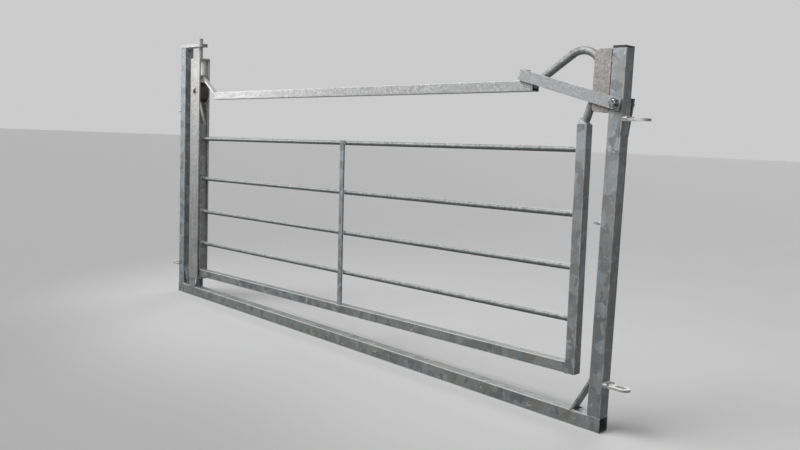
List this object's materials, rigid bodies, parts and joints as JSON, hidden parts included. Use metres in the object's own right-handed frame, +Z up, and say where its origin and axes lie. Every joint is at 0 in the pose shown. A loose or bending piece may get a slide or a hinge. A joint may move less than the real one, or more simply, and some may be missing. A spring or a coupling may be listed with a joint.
{
  "type": "swing sliding gate",
  "caption": "Galvanised livestock gate in its own ground frame: a barred leaf that runs by a ramp on one roller, with a looped nose in a pocket on the latch post.",
  "frame": {"origin": "middle of the bottom rail's underside, halfway between its ends and halfway between front and back", "axes": "+X runs from the hinge post to the latch post, +Z is up, -Y is the front with the drop arm"},
  "size_m": [2.91, 0.1269, 1.403],
  "materials": {
    "frame_galvanised": "hot-dip galvanised, dull grey with spangle",
    "carrier_galvanised": "hot-dip galvanised, pale and matt",
    "leaf_galvanised": "hot-dip galvanised, pale grey with spangle and streaks",
    "zinc_bolts": "bright zinc plate",
    "black_plastic": "moulded, matt",
    "roller_nylon": "turned nylon, dull, dusty"
  },
  "bodies": {
    "frame": {"bottom_rail": "frame_galvanised", "hinge_post": "frame_galvanised", "latch_post": "frame_galvanised", "post_cap": "black_plastic", "hinge_brace": "frame_galvanised", "latch_brace": "frame_galvanised", "pivot_plate": "frame_galvanised", "pivot_block": "frame_galvanised", "bottom_pin": "frame_galvanised", "guide_plate_front": "frame_galvanised", "guide_plate_back": "frame_galvanised", "eye_hinge_upper": "frame_galvanised", "eye_hinge_lower": "frame_galvanised", "eye_latch_upper": "frame_galvanised", "eye_latch_lower": "frame_galvanised", "latch_bolt": "zinc_bolts", "latch_nut": "zinc_bolts", "latch_washer": "zinc_bolts", "latch_spacer": "frame_galvanised", "back_arm": "frame_galvanised"},
    "carrier": {"carrier_flat_front": "carrier_galvanised", "carrier_flat_back": "carrier_galvanised", "carrier_top": "carrier_galvanised", "carrier_foot": "carrier_galvanised", "pivot_pin": "carrier_galvanised", "roller_axle": "zinc_bolts"},
    "roller": {"roller": "roller_nylon"},
    "gate": {"left_stile": "leaf_galvanised", "right_stile": "leaf_galvanised", "leaf_rail": "leaf_galvanised", "bar_1": "leaf_galvanised", "bar_2": "leaf_galvanised", "bar_3": "leaf_galvanised", "bar_4": "leaf_galvanised", "mid_strap": "leaf_galvanised", "top_bar": "leaf_galvanised", "ramp": "leaf_galvanised", "throat_strap": "leaf_galvanised", "nose_tube": "leaf_galvanised"},
    "latch": {"latch_arm": "frame_galvanised"}
  },
  "joints": [
    {"name": "carrier_swing", "type": "hinge", "parent": "frame", "child": "carrier", "pos_m": [-1.204, 0, 1.3655], "axis": [0, 0, 1], "range_deg": [-90, 90]},
    {"name": "gate_slide", "type": "slide", "parent": "carrier", "child": "gate", "axis": [-0.993, 0, 0.1179], "range_m": [0, 0.05]},
    {"name": "roller_spin", "type": "hinge", "parent": "carrier", "child": "roller", "pos_m": [-1.204, 0, 1.12], "axis": [0, 1, 0], "continuous": true},
    {"name": "latch_lift", "type": "hinge", "parent": "frame", "child": "latch", "pos_m": [1.345, -0.0333, 1.068], "axis": [0, 1, 0], "range_deg": [0, 76]}
  ],
  "couplings": [
    {"joint": "latch_lift", "follows": "gate_slide", "rad_per_m": 26.5}
  ]
}
